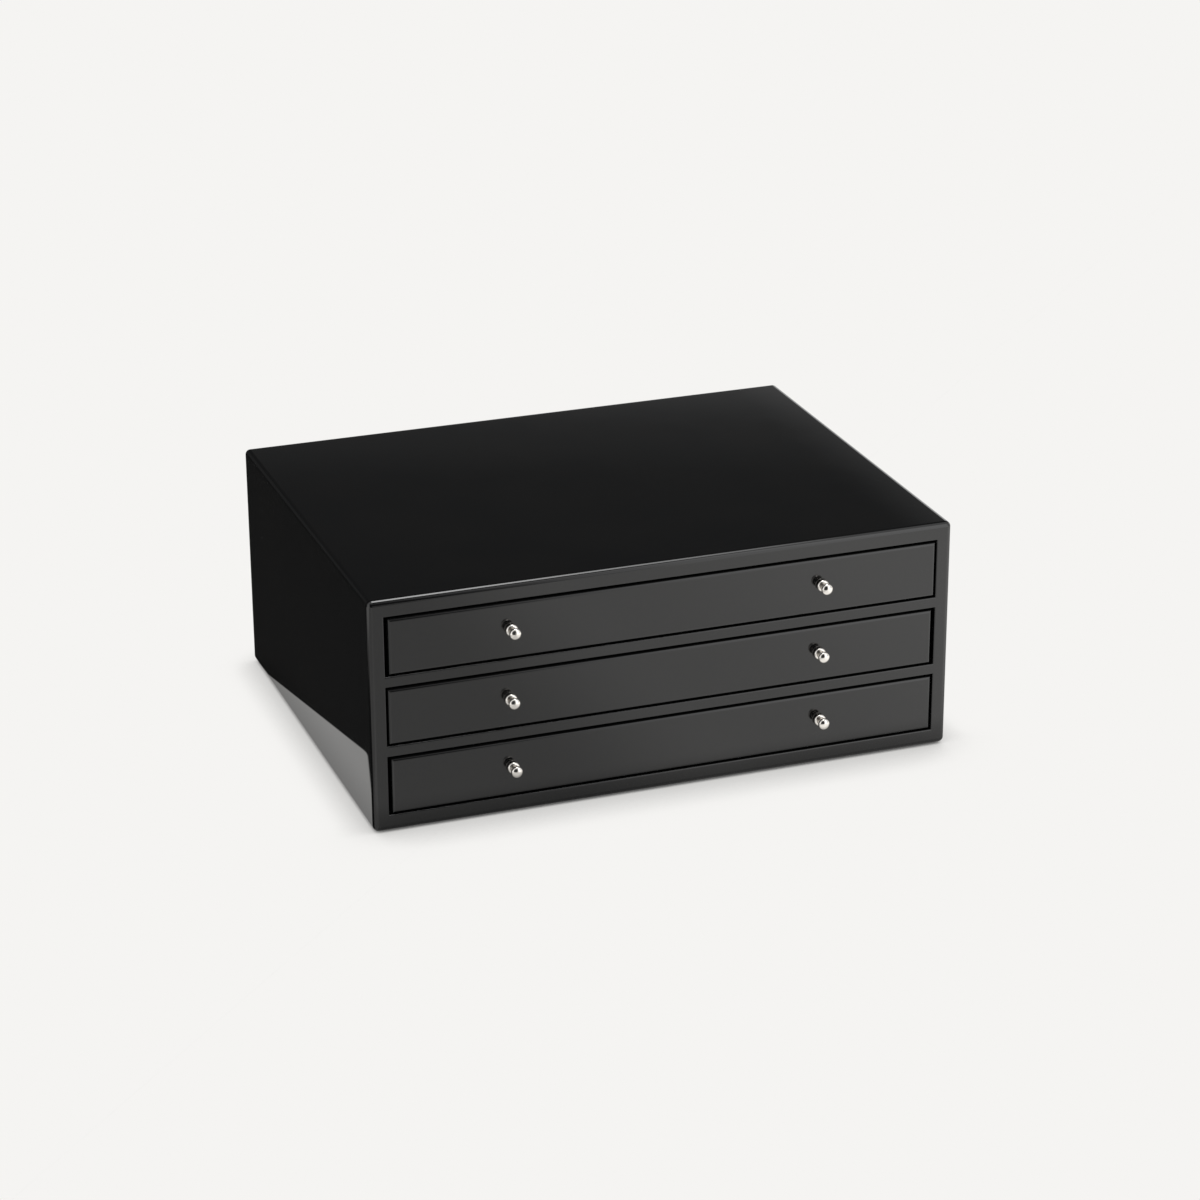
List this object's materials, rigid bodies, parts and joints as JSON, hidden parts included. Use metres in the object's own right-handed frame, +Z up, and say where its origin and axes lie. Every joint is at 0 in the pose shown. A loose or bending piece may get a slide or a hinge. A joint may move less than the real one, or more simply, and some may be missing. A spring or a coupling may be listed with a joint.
{
  "type": "drawer box",
  "caption": "Low rectangular tabletop chest in glossy lacquer with full-width inset drawers that slide out to the front, each pulled by small turned metal knobs.",
  "frame": {"origin": "middle of the carcass's underside, on the felt that it stands on", "axes": "+X to the right along the drawers, +Y to the back, +Z up; drawers pull out along -Y"},
  "size_m": [0.38, 0.2985, 0.152],
  "materials": {
    "carcass_lacquer": "black high-gloss lacquer over fibreboard",
    "drawer_lacquer": "black high-gloss lacquer over fibreboard",
    "drawer_box_satin": "black satin lacquer",
    "suede_lining": "charcoal suede with a short nap",
    "black_felt": "pressed felt",
    "polished_nickel": "polished nickel plate on turned brass",
    "screw_steel": "zinc-plated steel"
  },
  "bodies": {
    "carcass": {"carcass_top": "carcass_lacquer", "carcass_bottom": "carcass_lacquer", "carcass_left_side": "carcass_lacquer", "carcass_right_side": "carcass_lacquer", "carcass_back": "carcass_lacquer", "upper_shelf": "carcass_lacquer", "lower_shelf": "carcass_lacquer", "felt_base": "black_felt", "glide_strips": "black_felt", "stop_pads": "black_felt"},
    "top_drawer": {"top_drawer_front": "drawer_lacquer", "top_drawer_left_side": "drawer_box_satin", "top_drawer_right_side": "drawer_box_satin", "top_drawer_back": "drawer_box_satin", "top_drawer_bottom": "drawer_box_satin", "top_drawer_base_pad": "suede_lining", "top_drawer_wall_lining": "suede_lining", "top_drawer_left_knob": "polished_nickel", "top_drawer_right_knob": "polished_nickel", "top_drawer_knob_screws": "screw_steel"},
    "middle_drawer": {"middle_drawer_front": "drawer_lacquer", "middle_drawer_left_side": "drawer_box_satin", "middle_drawer_right_side": "drawer_box_satin", "middle_drawer_back": "drawer_box_satin", "middle_drawer_bottom": "drawer_box_satin", "middle_drawer_base_pad": "suede_lining", "middle_drawer_wall_lining": "suede_lining", "middle_drawer_left_knob": "polished_nickel", "middle_drawer_right_knob": "polished_nickel", "middle_drawer_knob_screws": "screw_steel"},
    "bottom_drawer": {"bottom_drawer_front": "drawer_lacquer", "bottom_drawer_left_side": "drawer_box_satin", "bottom_drawer_right_side": "drawer_box_satin", "bottom_drawer_back": "drawer_box_satin", "bottom_drawer_bottom": "drawer_box_satin", "bottom_drawer_base_pad": "suede_lining", "bottom_drawer_wall_lining": "suede_lining", "bottom_drawer_left_knob": "polished_nickel", "bottom_drawer_right_knob": "polished_nickel", "bottom_drawer_knob_screws": "screw_steel"}
  },
  "joints": [
    {"name": "top_drawer_slide", "type": "slide", "parent": "carcass", "child": "top_drawer", "axis": [0, -1, 0], "range_m": [0, 0.22]},
    {"name": "middle_drawer_slide", "type": "slide", "parent": "carcass", "child": "middle_drawer", "axis": [0, -1, 0], "range_m": [0, 0.22]},
    {"name": "bottom_drawer_slide", "type": "slide", "parent": "carcass", "child": "bottom_drawer", "axis": [0, -1, 0], "range_m": [0, 0.22]}
  ]
}
